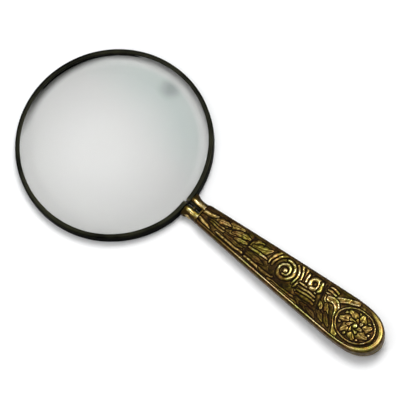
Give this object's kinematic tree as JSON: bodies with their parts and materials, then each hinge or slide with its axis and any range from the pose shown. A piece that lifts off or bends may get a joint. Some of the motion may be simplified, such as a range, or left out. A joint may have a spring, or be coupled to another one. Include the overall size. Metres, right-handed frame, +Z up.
{
  "type": "magnifying glass",
  "caption": "Hand magnifying glass for reading: a large round lens in a dark metal band on a long, flat, rounded brass handle with relief ornament.",
  "frame": {"origin": "on the table under the middle of the whole object, as it lies at rest", "axes": "+X along the handle away from the lens, +Y across the handle, +Z up out of the more convex side of the lens"},
  "size_m": [0.224, 0.1, 0.013],
  "materials": {
    "glass": "polished",
    "packing": "matte",
    "blackened_brass": "satin",
    "antique_brass": "satin",
    "screw_brass": "satin",
    "steel": "satin",
    "cement": "matte"
  },
  "bodies": {
    "glass": {"lens": "glass", "lens_gasket": "packing", "rim_band": "blackened_brass", "rim_lug_upper": "blackened_brass", "rim_lug_lower": "blackened_brass", "neck_ferrule": "antique_brass", "tang": "steel", "handle_front": "antique_brass", "handle_back": "antique_brass", "handle_core": "cement"},
    "screw": {"closing_screw": "screw_brass"}
  },
  "joints": [
    {"name": "closing_screw_turn", "type": "hinge", "parent": "glass", "child": "screw", "pos_m": [-0.00879, 0, 0.00474], "axis": [0, -1, 0], "range_deg": [0, 630]}
  ]
}
